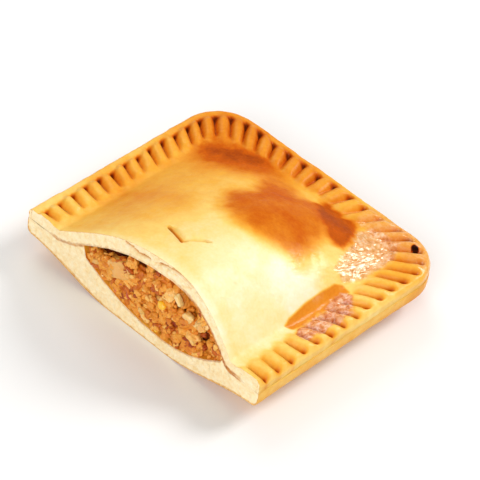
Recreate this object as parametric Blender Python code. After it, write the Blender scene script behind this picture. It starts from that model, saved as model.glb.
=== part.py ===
"""Half of a rectangular tuna empanada, cut across the middle and lying on its belly.

Metres, +Z up. X runs along the cut, +Y points from the cut face to the closed end, and the origin is
on the ground under the middle of the half. Three solids: the lid and the base of dough, which are
crimped together round three sides, and the tuna filling, which shows at the cut.
"""

import math
import random

import bmesh
import bpy
from mathutils import Vector, noise

MM = 0.001

# Outline of the half, seen from above
WIDTH = 95 * MM
DEPTH = 83 * MM
CORNER_RADIUS = 14 * MM
CORNER_TIGHTENING = 0.3  # how much a ring's corner radius shrinks for each metre of inset
HALF_WIDTH = WIDTH / 2
CUT_Y = -DEPTH / 2
BACK_Y = DEPTH / 2

# Fork ridges, counted along the border from the cut's left end to its right end
SIDE_RIDGES = 12
CORNER_RIDGES = 4
BACK_RIDGES = 10
RIDGES = 2 * SIDE_RIDGES + 2 * CORNER_RIDGES + BACK_RIDGES
COLUMNS_PER_RIDGE = 4

# Insets of the border's features: at the cut's left end, at its right end
BEAD_CREST = (2.0 * MM, 1.3 * MM)
RIDGE_START = (3.8 * MM, 2.4 * MM)
RIDGE_END = (11.6 * MM, 8.8 * MM)
DOME_FOOT = (13.0 * MM, 11.8 * MM)

# Heights above the underside of the rim
SEAM = 5.4 * MM
RIM_TOP = 9.2 * MM
DOME_TOP = 27.6 * MM
BELLY_SAG = 6.2 * MM  # the middle of the base hangs this far below the rim's underside
BELLY_INSET = 36 * MM  # further in than this, the belly is flat and rests on the ground
VALLEY_DEPTHS = (2.2 * MM, 1.5 * MM, 0.8 * MM)  # between ridges: outer end, middle, inner end

# The dome: it rises from its foot towards a crest in the cut plane, right of the middle
CREST_X = 10 * MM
CREST_ROUNDING = 0.25
FULLNESS_LEFT = 1.6  # 1 would be a straight slope, and a larger number is a fuller side
FULLNESS_BACK = 2.7
FULLNESS_RIGHT = 2.0
LID_THICKNESS = 5.2 * MM
HUMP = 0.9 * MM  # gentle unevenness of the dome
HUMP_SIZE = 21 * MM
DENT_CENTRE = (37.0 * MM, -6.0 * MM)  # where the dome's foot was pressed in, beside the right border
DENT_HALF = (4.5 * MM, 12.5 * MM)
DENT_DEPTH = 1.8 * MM

# The pocket for the filling. Its edge is a share of the way from the dome's crest to its foot
POCKET_EDGE = (0.74, 0.86)  # at the cut's left and right ends
POCKET_BACK = 0.1  # how much further out it lies at the back
POCKET_PLACES = (0, 0.25, 0.5, 0.75, 1)  # rows of points, from the crest, 0, to that edge, 1
WEDGE_PLACES = (1.12, 1.5, 2)  # rows from that edge to the dome's foot, 2, where the doughs touch
CORE_PLACES = (0, 0.25, 0.5, 0.75, 0.96)
DISH_FLOOR = -1.7 * MM  # the base's upper face is dished under the filling
DISH_RISE = 8.5 * MM
POCKET_EDGE_HEIGHT = 1.8 * MM

GAP = 0.3 * MM  # between solids that touch

# Insets and heights of the border's outer edge, from the top down
LID_EDGE = ((0.5 * MM, 8.5 * MM), (0.1 * MM, 6.9 * MM), (0.7 * MM, SEAM + GAP))
BASE_EDGE = ((0.7 * MM, SEAM), (0, 3.35 * MM), (0.2 * MM, 1.6 * MM))
BELLY_INSETS = (1.4 * MM, 5 * MM, 10 * MM, 17 * MM, 25 * MM, BELLY_INSET)
DOME_SHARES = (0.15, 0.3, 0.45, 0.6, 0.74, 0.86)  # rows over the dome, as shares of the way to its foot
LAST_DOME_SHARE = 0.95

WARP = 0.5 * MM  # hand-made unevenness of the outline
WARP_SIZE = 38 * MM

# Steam vent, a V-shaped nick in the lid near the cut
VENT_POINT = (3.6 * MM, -31.6 * MM)
VENT_ARMS = ((8.5 * MM, 160), (8.5 * MM, 42))  # length, heading in degrees
VENT_WIDTH = 0.9 * MM
VENT_DEPTH = 2.2 * MM

# Filling: a core, and the flakes of tuna that show at the cut
CORE_RECESS = 1.8 * MM
CORE_CLEARANCE = 0.6 * MM
FLAKE_TURNS = 125  # large and small by turns. A flake with no room is skipped
EVEN_STEPS = (0.7549, 0.5698)
LARGE_FLAKE_RADIUS = (2.4 * MM, 4.0 * MM)
SMALL_FLAKE_RADIUS = (1.3 * MM, 2.1 * MM)
FLAKE_STRETCH = ((0.9, 1.5), (0.8, 1.1), (0.6, 1.0))
FLAKE_ROUGHNESS = 0.4
FLAKE_CLEARANCE = 0.4 * MM
FILLING_SPAN = (-22 * MM, 31 * MM)  # its left and right ends in the cut
SEED = 7

# Base colour, roughness
CRUST = ((0.83, 0.52, 0.17), 0.42)
DOUGH = ((0.86, 0.66, 0.36), 0.6)
TUNA = ((0.72, 0.37, 0.14), 0.5)


def mix(a, b, share):
    return a + (b - a) * share


def smooth(share):
    share = min(max(share, 0.0), 1.0)
    return share * share * (3 - 2 * share)


# Outline and its rings


def warp(x, y):
    """Shifts a plan point by the unevenness of the outline. The cut stays a plane."""
    where = Vector((x / WARP_SIZE, y / WARP_SIZE, 0.7))
    from_cut = (y - CUT_Y) / DEPTH
    return (
        x + WARP * noise.noise(where),
        y + WARP * from_cut * noise.noise(where + Vector((5.0, 3.0, 0.0))),
    )


def ring_point(ridge, inset):
    """A plan point on the ring at that inset. ridge counts the fork ridges passed on the way."""
    if ridge > RIDGES / 2:
        x, y = ring_point(RIDGES - ridge, inset)
        return -x, y
    half_width = HALF_WIDTH - inset
    back = BACK_Y - inset
    radius = CORNER_RADIUS - CORNER_TIGHTENING * inset
    if ridge <= SIDE_RIDGES:
        return -half_width, mix(CUT_Y, back - radius, ridge / SIDE_RIDGES)
    ridge -= SIDE_RIDGES
    if ridge <= CORNER_RIDGES:
        angle = math.pi / 2 * ridge / CORNER_RIDGES
        return -half_width + radius * (1 - math.cos(angle)), back - radius * (1 - math.sin(angle))
    ridge -= CORNER_RIDGES
    return mix(-half_width + radius, half_width - radius, ridge / BACK_RIDGES), back


def ray_point(ridge, share):
    """A plan point on the way from the crest, share 0, to the dome's foot, share 1."""
    x, y = ring_point(ridge, along_border(DOME_FOOT, ridge))
    return mix(CREST_X, x, share), mix(CUT_Y, y, share)


def along_border(pair, ridge):
    """Moves from the value at the cut's left end to the one at its right end."""
    return mix(*pair, ridge / RIDGES)


def inner_share(place, ridge):
    """Turns a place inside, from 0 over the pocket's edge, 1, to the dome's foot, 2, into a share for ray_point."""
    edge = along_border(POCKET_EDGE, ridge) + POCKET_BACK * math.sin(math.pi * ridge / RIDGES)
    return place * edge if place < 1 else mix(edge, 1, place - 1)


def columns(count):
    """count + 1 places along the border, as numbers of ridges."""
    return [RIDGES * i / count for i in range(count + 1)]


# Heights, above the underside of the rim


def rounded_power(share, power):
    """share to a power, from 0 to 1, with a gentle bend where it starts."""
    lowest = CREST_ROUNDING**power
    highest = (1 + CREST_ROUNDING**2) ** (power / 2)
    return ((share**2 + CREST_ROUNDING**2) ** (power / 2) - lowest) / (highest - lowest)


def dent(x, y):
    """How far the pressed-in place lowers the lid's outer face."""
    across = (x - DENT_CENTRE[0]) / DENT_HALF[0]
    along = (y - DENT_CENTRE[1]) / DENT_HALF[1]
    return DENT_DEPTH * math.exp(-(across**2) - along**4)


def lid_top(x, y):
    """Height of the dome's outer face."""
    if x < CREST_X:
        foot, fullness = DOME_FOOT[0] - HALF_WIDTH, FULLNESS_LEFT
    else:
        foot, fullness = HALF_WIDTH - DOME_FOOT[1], FULLNESS_RIGHT
    across = 1 - rounded_power((x - CREST_X) / (foot - CREST_X), fullness)
    back = BACK_Y - sum(DOME_FOOT) / 2
    along = 1 - rounded_power((y - CUT_Y) / (back - CUT_Y), FULLNESS_BACK)
    rise = max(across, 0) * max(along, 0)
    hump = HUMP * smooth(2 * rise) * noise.noise(Vector((x / HUMP_SIZE, y / HUMP_SIZE, 0.3)))
    return mix(RIM_TOP, DOME_TOP, rise) + hump - dent(x, y)


def lid_under(x, y):
    """Height of the lid's inner face, which follows the dome."""
    return max(SEAM + GAP, lid_top(x, y) - LID_THICKNESS)


def base_top(x, y, place):
    """Height of the base's upper face: a dish under the filling, and against the lid beyond its edge."""
    if place > 1:
        return lid_under(x, y) - GAP
    return min(DISH_FLOOR + DISH_RISE * place**2, lid_under(x, y) - POCKET_EDGE_HEIGHT)


def belly(inset):
    """Height of the base's underside."""
    return -BELLY_SAG * smooth(inset / BELLY_INSET)


def ridge_dip(ridge):
    """How far into a valley between ridges this place is: 0 on a ridge, 1 in a valley."""
    from_crest = abs(ridge - round(ridge))
    return max(0.0, (from_crest - 0.25) / 0.25)


# Rows of points. Each runs from the cut's left end round the border to its right end


def place(x, y, height):
    return Vector((*warp(x, y), height + BELLY_SAG))


def ring(count, inset, height):
    """A row at one inset. inset and height are numbers, or functions of the ridge number."""
    row = []
    for ridge in columns(count):
        here = inset(ridge) if callable(inset) else inset
        level = height(ridge) if callable(height) else height
        row.append(place(*ring_point(ridge, here), level))
    return row


def dome_row(count, share, height):
    """A row at one share of the way from the crest to the dome's foot."""
    return [place(x, y, height(x, y)) for x, y in (ray_point(ridge, share) for ridge in columns(count))]


def inner_rows(places, height):
    """Rows inside, of which the first is the single point under the crest."""
    rows = [[place(CREST_X, CUT_Y, height(CREST_X, CUT_Y, 0))]]
    for at in places[1:]:
        points = [ray_point(ridge, inner_share(at, ridge)) for ridge in columns(RIDGES)]
        rows.append([place(x, y, height(x, y, at)) for x, y in points])
    return rows


def lid_rows():
    """From the crest of the dome, over the ridges and the bead, down the edge and back underneath."""
    fine = RIDGES * COLUMNS_PER_RIDGE
    rows = [[place(CREST_X, CUT_Y, lid_top(CREST_X, CUT_Y))]]
    rows += [dome_row(RIDGES, share, lid_top) for share in DOME_SHARES]
    rows += [dome_row(fine // 2, LAST_DOME_SHARE, lid_top), dome_row(fine, 1, lid_top)]
    insets = (
        lambda ridge: along_border(RIDGE_END, ridge),
        lambda ridge: (along_border(RIDGE_END, ridge) + along_border(RIDGE_START, ridge)) / 2,
        lambda ridge: along_border(RIDGE_START, ridge),
    )
    for inset, depth in zip(insets, reversed(VALLEY_DEPTHS)):
        rows.append(ring(fine, inset, lambda ridge, depth=depth: RIM_TOP - depth * ridge_dip(ridge)))
        for point in rows[-1]:
            point.z -= dent(point.x, point.y)
    rows.append(ring(fine, lambda ridge: along_border(BEAD_CREST, ridge), RIM_TOP))
    rows += [ring(RIDGES, inset, height) for inset, height in LID_EDGE]
    return rows + inner_rows(POCKET_PLACES + WEDGE_PLACES, lambda x, y, _: lid_under(x, y))[::-1]


def base_rows():
    """From the middle of the dish, out to the edge and back underneath to the middle of the belly."""
    rows = inner_rows(POCKET_PLACES + WEDGE_PLACES, base_top)
    rows += [ring(RIDGES, inset, height) for inset, height in BASE_EDGE]
    rows += [ring(RIDGES, inset, belly(inset)) for inset in BELLY_INSETS]
    rows.append([place(0, CUT_Y, -BELLY_SAG)])
    return rows


def core_rows():
    """The filling's core, from the top of the pocket out to its edge and back under to the dish."""
    top = inner_rows(CORE_PLACES, lambda x, y, _: lid_under(x, y) - CORE_CLEARANCE)
    bottom = inner_rows(CORE_PLACES, lambda x, y, at: base_top(x, y, at) + CORE_CLEARANCE)
    return top + bottom[::-1]


# Solids


def stitch(mesh, first, second):
    """Joins two neighbouring rows with triangles. The rows may differ in their number of points."""
    i = j = 0
    while i < len(first) - 1 or j < len(second) - 1:
        first_is_behind = i < len(first) - 1 and (i + 1) * (len(second) - 1) <= (j + 1) * (len(first) - 1)
        if first_is_behind or j == len(second) - 1:
            mesh.faces.new((first[i], first[i + 1], second[j]))
            i += 1
        else:
            mesh.faces.new((first[i], second[j + 1], second[j]))
            j += 1


def loft(name, rows, material, collection, recess=0):
    """A closed solid through the rows, whose first and last are single points, with a flat cut face."""
    mesh = bmesh.new()
    made = [[mesh.verts.new(point) for point in row] for row in rows]
    for first, second in zip(made, made[1:]):
        stitch(mesh, first, second)
    if recess:
        everything = mesh.verts[:] + mesh.edges[:] + mesh.faces[:]
        plane = (0, CUT_Y + recess, 0)
        bmesh.ops.bisect_plane(mesh, geom=everything, plane_co=plane, plane_no=(0, -1, 0), clear_outer=True)
    bmesh.ops.holes_fill(mesh, edges=mesh.edges[:], sides=0)
    bmesh.ops.triangulate(mesh, faces=mesh.faces[:], ngon_method="EAR_CLIP")
    bmesh.ops.recalc_face_normals(mesh, faces=mesh.faces[:])
    return add_object(name, mesh, material, collection)


def add_object(name, mesh, material, collection):
    data = bpy.data.meshes.new(name)
    mesh.to_mesh(data)
    mesh.free()
    data.shade_smooth()
    data.set_sharp_from_angle(angle=math.radians(40))
    data.materials.append(material)
    made = bpy.data.objects.new(name, data)
    collection.objects.link(made)
    return made


def vent_outline():
    """The corners of the V, seen from above: round each arm's tip, and the V's two sides between."""
    point = Vector(VENT_POINT)
    left, right = (Vector((math.cos(math.radians(turn)), math.sin(math.radians(turn)))) for _, turn in VENT_ARMS)
    middle = (left + right).normalized()
    corner = middle * (VENT_WIDTH / 2 / math.sin(left.angle(middle)))
    side = Vector((-left.y, left.x)) * (VENT_WIDTH / 2)
    left_tip = point + left * VENT_ARMS[0][0]
    outline = [point - corner, left_tip + side, left_tip - side, point + corner]
    side = Vector((-right.y, right.x)) * (VENT_WIDTH / 2)
    right_tip = point + right * VENT_ARMS[1][0]
    return outline + [right_tip + side, right_tip - side]


def make_vent_cutter(collection, material):
    """A V-shaped blade, sunk to the same depth all along the lid's outer face."""
    mesh = bmesh.new()
    bottom = []
    for x, y in vent_outline():
        height = lid_top(x, y) + BELLY_SAG
        bottom.append(mesh.verts.new((x, y, height - VENT_DEPTH)))
    face = mesh.faces.new(bottom)
    raised = bmesh.ops.extrude_face_region(mesh, geom=[face])["geom"]
    top = [item for item in raised if isinstance(item, bmesh.types.BMVert)]
    bmesh.ops.translate(mesh, verts=top, vec=(0, 0, 2 * VENT_DEPTH))
    bmesh.ops.triangulate(mesh, faces=mesh.faces[:])
    bmesh.ops.recalc_face_normals(mesh, faces=mesh.faces[:])
    return add_object("vent_cutter", mesh, material, collection)


def add_boolean(target, operation, other):
    """other is the object to cut away, or the collection of objects to join on."""
    modifier = target.modifiers.new(operation.lower(), "BOOLEAN")
    modifier.operation = operation
    modifier.solver = "EXACT"
    if isinstance(other, bpy.types.Collection):
        modifier.operand_type = "COLLECTION"
        modifier.collection = other
    else:
        modifier.object = other
    return modifier


def room_at(x):
    """Lowest and highest place for the filling in the cut plane, at that distance along it."""
    ridge = 0 if x < CREST_X else RIDGES
    edge_x, _ = ray_point(ridge, inner_share(1, ridge))
    low = base_top(x, CUT_Y, (x - CREST_X) / (edge_x - CREST_X)) + FLAKE_CLEARANCE
    high = lid_under(x, CUT_Y) - FLAKE_CLEARANCE
    return low + BELLY_SAG, high + BELLY_SAG


def add_flake(draw, turn, radii, detail, material, collection):
    """One lump of flaked tuna at the cut, if there is room for it between the base and the lid.

    Its place comes from its turn, by steps that spread any number of lumps evenly.
    """
    reach = draw.uniform(*radii) * Vector([draw.uniform(*share) for share in FLAKE_STRETCH])
    x = mix(*FILLING_SPAN, turn * EVEN_STEPS[0] % 1)
    rooms = [room_at(x + side * reach.x) for side in (-1, 0, 1)]
    low = max(low for low, _ in rooms) + reach.z
    high = min(high for _, high in rooms) - reach.z
    if low > high:
        return
    centre = Vector((x, CUT_Y + reach.y, mix(low, high, turn * EVEN_STEPS[1] % 1)))
    mesh = bmesh.new()
    bmesh.ops.create_icosphere(mesh, subdivisions=detail, radius=1)
    for vert in mesh.verts:
        lump = 1 - FLAKE_ROUGHNESS * abs(noise.noise(1.3 * vert.co + centre / MM))
        vert.co = centre + vert.co * reach * lump
    add_object(f"flake_{turn:03d}", mesh, material, collection)


def keep_largest_shell(data):
    """Drops the loose scraps and the sealed hollows that joining many lumps leaves behind."""
    mesh = bmesh.new()
    mesh.from_mesh(data)
    waiting = set(mesh.faces)
    shells = []
    while waiting:
        shell = set()
        front = [waiting.pop()]
        while front:
            face = front.pop()
            shell.add(face)
            for edge in face.edges:
                touching = waiting.intersection(edge.link_faces)
                front += touching
                waiting -= touching
        shells.append(shell)
    largest = max(shells, key=len)
    bmesh.ops.delete(mesh, geom=[face for face in mesh.faces if face not in largest], context="FACES")
    mesh.to_mesh(data)
    mesh.free()


def make_filling(material, collection):
    """The core with its flakes joined on. The flakes' own objects are removed."""
    core = loft("tuna_filling", core_rows(), material, collection, CORE_RECESS)
    flakes = new_collection("flakes")
    draw = random.Random(SEED)
    for turn in range(FLAKE_TURNS):
        small = turn % 2
        radii = SMALL_FLAKE_RADIUS if small else LARGE_FLAKE_RADIUS
        add_flake(draw, turn, radii, 1 if small else 2, material, flakes)
    join = add_boolean(core, "UNION", flakes)
    bpy.context.view_layer.objects.active = core
    bpy.ops.object.modifier_apply(modifier=join.name)
    keep_largest_shell(core.data)
    for flake in list(flakes.objects):
        bpy.data.objects.remove(flake)
    bpy.data.collections.remove(flakes)
    return core


# Scene


def new_material(name, colour, roughness):
    material = bpy.data.materials.new(name)
    material.use_nodes = True
    shader = material.node_tree.nodes["Principled BSDF"]
    shader.inputs["Base Color"].default_value = (*colour, 1)
    shader.inputs["Roughness"].default_value = roughness
    shader.inputs["Metallic"].default_value = 0
    return material


def new_collection(name):
    made = bpy.data.collections.new(name)
    bpy.context.scene.collection.children.link(made)
    return made


def main():
    for old in list(bpy.data.objects):
        bpy.data.objects.remove(old)
    parts = new_collection("tuna_empanada_half")
    cutters = new_collection("cutters")
    crust = new_material("crust", *CRUST)
    dough = new_material("dough", *DOUGH)
    tuna = new_material("tuna", *TUNA)

    lid = loft("pastry_lid", lid_rows(), crust, parts)
    vent = make_vent_cutter(cutters, crust)
    vent.hide_render = True
    vent.display_type = "WIRE"
    add_boolean(lid, "DIFFERENCE", vent)
    loft("pastry_base", base_rows(), dough, parts)
    make_filling(tuna, parts)


main()
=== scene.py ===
"""Looks of half a tuna empanada: crimped golden crust, cream dough at the cut and moist flaked filling.

Everything is in metres, in the frame of the solids: X along the cut, +Y towards the closed end.
The dough is built again from the solids' own form, fine enough for its relief.
"""

import math
import random

import bmesh
import bpy
import numpy as np
from mathutils import Matrix, Vector, noise


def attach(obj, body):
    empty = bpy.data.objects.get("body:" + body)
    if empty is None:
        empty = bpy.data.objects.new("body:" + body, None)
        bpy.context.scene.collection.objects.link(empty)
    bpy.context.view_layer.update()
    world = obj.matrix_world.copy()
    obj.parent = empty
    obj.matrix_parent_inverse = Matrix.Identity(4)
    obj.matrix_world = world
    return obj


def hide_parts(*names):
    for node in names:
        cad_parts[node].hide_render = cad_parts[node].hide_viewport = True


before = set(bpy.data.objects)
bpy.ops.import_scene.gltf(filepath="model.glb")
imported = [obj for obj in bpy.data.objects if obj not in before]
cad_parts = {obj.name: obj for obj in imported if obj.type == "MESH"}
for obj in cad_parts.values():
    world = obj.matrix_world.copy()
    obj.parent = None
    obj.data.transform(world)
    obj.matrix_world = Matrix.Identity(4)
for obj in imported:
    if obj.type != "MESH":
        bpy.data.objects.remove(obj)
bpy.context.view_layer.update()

MM = 0.001

# Form of the solids
WIDTH = 95 * MM
DEPTH = 83 * MM
CORNER_RADIUS = 14 * MM
CORNER_TIGHTENING = 0.3
HALF_WIDTH = WIDTH / 2
CUT_Y = -DEPTH / 2
BACK_Y = DEPTH / 2
SIDE_RIDGES = 12
CORNER_RIDGES = 4
BACK_RIDGES = 10
RIDGES = 2 * SIDE_RIDGES + 2 * CORNER_RIDGES + BACK_RIDGES
DOME_FOOT = (13.0 * MM, 11.8 * MM)
BELLY_SAG = 6.2 * MM
BELLY_INSET = 36 * MM
SEAM = 5.4 * MM
RIM_TOP = 9.2 * MM
DOME_TOP = 27.6 * MM
CREST_X = 10 * MM
CREST_ROUNDING = 0.25
FULLNESS_LEFT = 1.6
FULLNESS_BACK = 2.7
FULLNESS_RIGHT = 2.0
LID_THICKNESS = 5.2 * MM
HUMP = 0.9 * MM
HUMP_SIZE = 21 * MM
DENT_CENTRE = (37.0 * MM, -6.0 * MM)
DENT_HALF = (4.5 * MM, 12.5 * MM)
DENT_DEPTH = 1.8 * MM
POCKET_EDGE = (0.74, 0.86)
POCKET_BACK = 0.1
POCKET_PLACES = (0, 0.25, 0.5, 0.75, 1)
WEDGE_PLACES = (1.12, 1.5, 2)
DISH_FLOOR = -1.7 * MM
DISH_RISE = 8.5 * MM
POCKET_EDGE_HEIGHT = 1.8 * MM
GAP = 0.3 * MM
JOINT = 0.02 * MM
WARP = 0.5 * MM
WARP_SIZE = 38 * MM
VENT = ((-5.0 * MM, -28.0 * MM), (3.6 * MM, -31.4 * MM), (10.0 * MM, -25.4 * MM))

# Crimped border. Where its grooves start and end, in millimetres from the edge, by the ridges passed
GROOVE_START = ((0, 12, 30, 36, RIDGES), (4.0, 3.4, 2.3, 1.0, 0.7))
GROOVE_END = ((0, 16, 30, 36, RIDGES), (10.4, 10.8, 10.4, 9.0, 8.28))
# By the share of the way along a groove: its depth in millimetres, its browning, and the ridges' fullness
GROOVE_DEPTH = ((-0.1, 0.03, 0.5, 0.95, 1.2), (0, 2.2, 1.5, 0.9, 0))
GROOVE_BROWNING = ((-0.12, 0.02, 0.9, 1.2), (0, 1, 0.8, 0))
RIDGE_FULLNESS = ((-0.12, 0.12, 0.85, 1.1), (0, 1, 0.8, 0))
RIDGE_HEIGHT = 0.8 * MM
GROOVE_SHARPNESS = 3.5
SCALLOP = 0.5 * MM

# Edges of the two sheets, with the base's wall as inset and height in millimetres
BEAD = 1.5 * MM
BULGE = 0.2 * MM
SEAM_INSET = 0.08 * MM
SEAM_REACH = 1.0 * MM
SEAM_MARGIN = 0.35 * MM
WALL = (
    (0.08, 5.4), (0.03, 5.1), (0, 4.6), (0, 4.1), (0, 3.5), (0.02, 2.9), (0.05, 2.3), (0.1, 1.7),
    (0.25, 1.15), (0.55, 0.6), (1.05, 0.2),
)

# Vent: half width of its slit, a height below it, and the reach of its lips and of its sunken edge
SLIT = 0.85 * MM
VENT_LOWEST = 24.8 * MM
LIP = 1.6 * MM
SUNKEN_EDGE = 2.4 * MM
# Its bulging flap, in millimetres: centre, half sizes, turn in degrees and soft edge
FLAP = ((3.2, -26.5), (6.5, 4.5), -8, 0.9)

# Cut faces. By the place along the cut in millimetres: depth of the lid's crack, and strength of the stains
CRACK_DEPTH = ((-13, -8.5, -3, 3, 7, 13, 21), (0.2, 1.4, 3.0, 2.9, 1.8, 0.9, 0.8))
LID_STAIN = ((-40, -36, -24, -20, 10, 20, 38, 42), (0, 0.7, 0.7, 0.5, 0.5, 1, 1, 0))
BASE_STAIN = ((-40, -36, -24, -18, 28, 34, 39, 42), (0, 0.8, 0.8, 0.7, 0.7, 1, 1, 0))
STAIN_REACH = (1.5 * MM, 0.2 * MM)
BASE_THICKNESS = 5 * MM
CRACK_INTO = 1.3 * MM
KNIFE_SLACK = 0.05 * MM

# Filling. How far it has sunk below the lid, by the place along the cut, in millimetres
SUNK = ((-25.5, -24, -17, -9.5, -7.5), (0.4, 1.8, 3.0, 3.5, 0))
# Hollows where the knife pulled pieces out: place along the cut and height, and size, in millimetres
HOLLOWS = (
    ((24.1, 14.0), 4.5),
    ((12.0, 25.2), 4.4),
    ((17.6, 21.8), 3.5),
    ((14.0, 17.3), 2.3),
    ((4.5, 17.5), 1.4),
    ((-4.0, 23.0), 2.7),
)
HOLLOW_DEPTH = 5.5 * MM
CORE_BACK = 3.8 * MM
# Its lumps are cut off at FRONT, with edges rounded over SQUASH, and spread evenly over SPAN
FRONT = CUT_Y - 0.5 * MM
SQUASH = 0.5 * MM
SPAN = (-25.5 * MM, 34 * MM)
SPAN_STEP, HEIGHT_STEP = 0.7549, 0.5698
LUMP_SHAPE = ((0.9, 1.4), (0.8, 1.1), (0.65, 1.0))
# How many lumps of each kind, and the range of their half sizes in millimetres
FLAKES = (150, (1.5, 2.7))
CRUMBS = (420, (0.5, 1.3))
PEPPERS = (14, (0.7, 1.2))
# Onion pieces: place along the cut and height, half sizes, tilt and tint
ONIONS = (
    ((-10.5, 17.0), (4.2, 2.0, 3.3), -0.5, 0.4),
    ((13.3, 22.3), (1.9, 1.0, 0.8), 0.9, 0.85),
    ((17.6, 18.8), (1.7, 1.2, 1.3), 0.3, 0.65),
    ((22.6, 18.8), (1.5, 1.1, 1.5), 0.8, 0.4),
    ((0.5, 8.6), (1.4, 0.9, 0.9), 0.2, 0.5),
    ((-19.0, 14.0), (1.5, 0.9, 0.9), -0.6, 0.4),
)
ONION_SUNK = 0.4 * MM
YOLK_AT = (7.4 * MM, CUT_Y + 0.5 * MM, 16.1 * MM)
YOLK_RADII = (1.5 * MM, 1.1 * MM, 1.3 * MM)
YOLK_TINT = 1.3

# Mesh density, with the first, the end and the step of the belly rows' insets in millimetres
COLUMNS_PER_RIDGE = 16
FINE = RIDGES * COLUMNS_PER_RIDGE
COARSE = RIDGES * 4
DOME_ROWS = 100
BORDER_STEP = 0.33 * MM
CUT_STEP = 0.26 * MM
LID_CUT_LAYERS = 17
BASE_CUT_LAYERS = 19
LID_WALL_ROWS = 8
BELLY_ROWS = (1.7, 46.5, 0.7)
BELLY_THINNING = 60
# What the crest's inset is past the dome foot's own, where looks depend on the inset
CREST_INSET = 20 * MM

# Browned and glossy places on the lid, seen from above, in millimetres
BROWN_PATCH = (
    (-3, -8.5), (3, -10.5), (8, -11.5), (12, -11.5), (16.4, -10.6), (20.5, -8), (24, -5.5), (26, -3.5),
    (25.3, -0.5), (24.2, 3), (23.2, 7), (22.5, 11), (20.5, 15), (15, 20), (10, 26), (3, 23), (-3, 25),
    (-9, 17), (-5, 9), (-8, 1),
)
DEEP_PATCH = (
    (6, 25), (10.5, 22), (13.5, 18), (18, 15.8), (21.5, 14), (24.5, 13.5), (27.2, 15), (26.3, 19.5),
    (23.5, 25.5), (19.5, 31), (16.5, 36), (7, 35),
)
GOLDEN_STREAK = (
    (-36, -24), (-27, -29), (-16, -31), (-9, -29), (-7, -22), (-8, -14), (-14, -9), (-28, -10), (-36, -14),
)
GLOSSY_PATCH = (
    (22, 26.9), (22.8, 32.3), (29, 34), (34.2, 33), (36.5, 27.7), (36.9, 20.6), (36.1, 15.3), (34.3, 8),
    (30.9, 7.2), (28.8, 13.3), (26.8, 18.4),
)
OVAL = (
    (35.3, -18.7), (34.3, -15.9), (33.4, -8), (33.2, -1.4), (33.4, 4.9), (34.8, 7.5), (37.5, 7.5),
    (37.5, -17),
)
GLOSSY_RIDGES = (
    (40.5, -19.3), (43.6, -19.6), (44.5, -14), (44.6, -7.8), (44.4, -1.2), (43.6, 3.8), (38.9, 6.5),
    (36.6, 5.3), (36.6, -7.6), (37.8, -15),
)
# Round places: browning to add, negative for painted highlight, centre, half sizes, turn in degrees and
# soft edge
BROWNING_AND_HIGHLIGHTS = (
    (0.2, (-21, 22), (15, 9), 25, 1.2),
    # The two paler places on the dome's right side are painted highlight
    (-0.12, (24, -22), (15, 19), 0, 0.9),
    (-0.12, (28, -8), (7, 9), 0, 0.9),
)
# Where the dome has a sheen, and where the border is burnt: centre, half sizes, turn and soft edge
SHEEN = ((27, -1), (7, 8), 0, 0.8)
BURNT_SPECKS = (((37.6, 36.6), (1.2, 0.9), 40, 0.5), ((34.6, 38.0), (0.8, 0.6), 0, 0.5))

# Camera, from the photo's view of the half
CAMERA_AT = (381.4 * MM, -506.8 * MM, 581.3 * MM)
CAMERA_UP = (-0.545, 0.438, 0.715)
CAMERA_TARGET = (1.0 * MM, -1.0 * MM, 14.0 * MM)
LENS = 215
CLIP_START = 0.01

# Surroundings, with each light's name, place, size, power and colour
LIGHTS = (
    ("key", (0.34, 0.8, 0.75), 0.5, 8.5, (1.0, 0.98, 0.95)),
    ("fill", (0.35, -1.0, 0.65), 0.9, 9.2, (1.0, 0.99, 0.97)),
    ("left_fill", (-0.75, 0.35, 0.75), 0.7, 3.2, (1.0, 0.99, 0.97)),
)
WORLD_STRENGTH = 0.36
FLOOR_HALF = 4.0


def mix(a, b, share):
    return a + (b - a) * share


def smooth(share):
    share = np.clip(share, 0, 1)
    return share * share * (3 - 2 * share)


def step(value, low, high):
    """0 below low, 1 above high, and smooth between them. It falls instead where low is above high."""
    return smooth((value - low) / (high - low))


def noise_at(points, size, seed=0.0):
    """Smooth noise of about -1 to 1 at each of an array of points, with features of that size."""
    scaled = np.asarray(points) / size + seed
    values = [noise.noise(point) for point in scaled.reshape(-1, 3).tolist()]
    return np.array(values).reshape(scaled.shape[:-1])


def layered_noise(points, size, seed=0.0, layers=3):
    """Noise with finer and weaker noise on it."""
    return sum(noise_at(points, size / 2**i, seed + 7.3 * i) / 1.8**i for i in range(layers))


# The form, for arrays of places


def along_border(pair, ridge):
    return mix(*pair, ridge / RIDGES)


def ring_points(ridge, inset):
    """Plan points on the ring at that inset. ridge counts the fork ridges passed on the way."""
    flipped = ridge > RIDGES / 2
    ridge = np.where(flipped, RIDGES - ridge, ridge)
    half_width = HALF_WIDTH - inset
    back = BACK_Y - inset
    radius = CORNER_RADIUS - CORNER_TIGHTENING * inset
    along_side = np.clip(ridge / SIDE_RIDGES, 0, 1)
    angle = np.clip((ridge - SIDE_RIDGES) / CORNER_RIDGES, 0, 1) * math.pi / 2
    along_back = np.clip((ridge - SIDE_RIDGES - CORNER_RIDGES) / BACK_RIDGES, 0, 1)
    x = -half_width + radius * (1 - np.cos(angle)) + 2 * (half_width - radius) * along_back
    y = mix(CUT_Y, back - radius, along_side) + radius * np.sin(angle)
    return np.where(flipped, -x, x), y


def ray_points(ridge, share):
    """Plan points on the way from the crest, share 0, to the dome's foot, share 1."""
    x, y = ring_points(ridge, along_border(DOME_FOOT, ridge))
    return mix(CREST_X, x, share), mix(CUT_Y, y, share)


def rounded_power(share, power):
    lowest = CREST_ROUNDING**power
    highest = (1 + CREST_ROUNDING**2) ** (power / 2)
    return ((share**2 + CREST_ROUNDING**2) ** (power / 2) - lowest) / (highest - lowest)


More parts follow.
